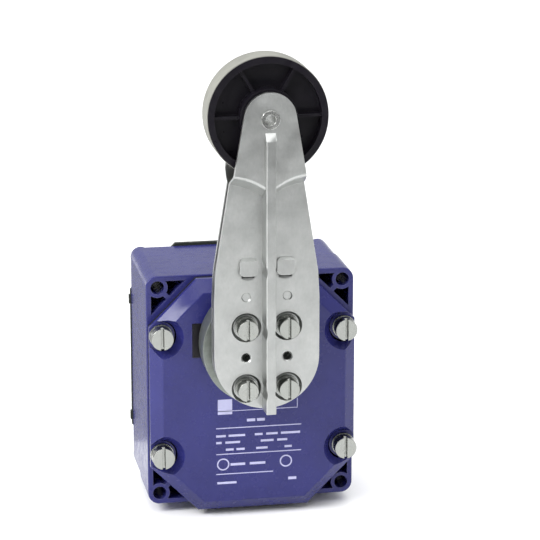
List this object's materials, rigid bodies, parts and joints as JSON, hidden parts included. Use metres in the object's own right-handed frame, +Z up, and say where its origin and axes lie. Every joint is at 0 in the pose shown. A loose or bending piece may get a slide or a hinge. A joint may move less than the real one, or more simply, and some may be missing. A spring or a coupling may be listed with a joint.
{
  "type": "limit switch",
  "caption": "Heavy-duty rotary limit switch: boxed metal body with octagonal cover, sprung two-plate lever and a large roller.",
  "frame": {"origin": "centre of the four fixing holes, on the mounting plane at the back of the body", "axes": "+Z up along the lever at rest, +Y back into the wall along the fixing screws, +X to the right seen from the front"},
  "size_m": [0.0912, 0.1035, 0.2066],
  "materials": {
    "body_paint": "semi-gloss blue-violet enamel on a die casting",
    "dark_plate": "matt olive-black",
    "screw_zinc": "bright zinc plate, turned",
    "lever_zinc": "zinc-plated pressed steel",
    "shaft_steel": "ground and plated steel",
    "die_cast": "grey-green zinc alloy casting",
    "black_plastic": "moulded, satin",
    "tread_plastic": "warm grey moulded tread",
    "black_rubber": "matt",
    "bronze": "sintered bronze, oily",
    "contact_brass": "bright brass",
    "cream_plastic": "moulded thermoset",
    "spring_steel": "spring steel wire"
  },
  "bodies": {
    "housing": {"case": "body_paint", "rear_plate": "dark_plate", "rear_plate_screws": "screw_zinc", "cover_gasket": "black_rubber", "cover": "body_paint", "cover_screws": "screw_zinc", "cover_screw_washers": "screw_zinc", "stop_blocks": "black_plastic", "bearing_sleeve": "die_cast", "sleeve_nut": "lever_zinc", "front_bush": "bronze", "rear_bush": "bronze", "shaft_seal": "black_rubber", "spring_post": "screw_zinc", "mounting_plate": "lever_zinc", "mounting_plate_screws": "screw_zinc", "front_contact_block": "cream_plastic", "rear_contact_block": "cream_plastic", "block_screws": "screw_zinc", "front_fixed_contacts": "contact_brass", "rear_fixed_contacts": "contact_brass", "front_terminal_screws": "screw_zinc", "rear_terminal_screws": "screw_zinc", "front_plunger_spring": "spring_steel", "rear_plunger_spring": "spring_steel", "earth_screw": "screw_zinc", "entry_plug": "screw_zinc", "entry_plug_seal": "black_rubber"},
    "lever": {"shaft": "shaft_steel", "shaft_circlip": "spring_steel", "front_cam": "die_cast", "rear_cam": "die_cast", "return_spring": "spring_steel", "lever_hub": "die_cast", "rear_lever_plate": "lever_zinc", "front_lever_plate": "lever_zinc", "lever_screws": "screw_zinc", "lever_screw_washers": "screw_zinc", "axle": "shaft_steel", "axle_washers": "shaft_steel"},
    "roller": {"roller_wheel": "black_plastic", "roller_tread": "tread_plastic", "roller_bush": "bronze"},
    "front_plunger": {"front_plunger": "cream_plastic", "front_contact_bridge": "contact_brass"},
    "rear_plunger": {"rear_plunger": "cream_plastic", "rear_contact_bridge": "contact_brass"}
  },
  "joints": [
    {"name": "lever_swing", "type": "hinge", "parent": "housing", "child": "lever", "pos_m": [0, -0.062, 0.0248], "axis": [0, 1, 0], "range_deg": [-55, 55], "stiffness_Nm_per_rad": 0.9},
    {"name": "roller_spin", "type": "hinge", "parent": "lever", "child": "roller", "pos_m": [0, -0.0895, 0.1264], "axis": [0, 1, 0], "continuous": true},
    {"name": "front_plunger_slide", "type": "slide", "parent": "housing", "child": "front_plunger", "axis": [0, 0, 1], "range_m": [-0.0022, 0.0022], "deforming": ["front_plunger_spring"]},
    {"name": "rear_plunger_slide", "type": "slide", "parent": "housing", "child": "rear_plunger", "axis": [0, 0, 1], "range_m": [-0.0022, 0.0022], "deforming": ["rear_plunger_spring"]}
  ],
  "couplings": [
    {"joint": "front_plunger_slide", "follows": "lever_swing", "m_per_rad": -0.0022},
    {"joint": "rear_plunger_slide", "follows": "lever_swing", "m_per_rad": 0.0022}
  ]
}
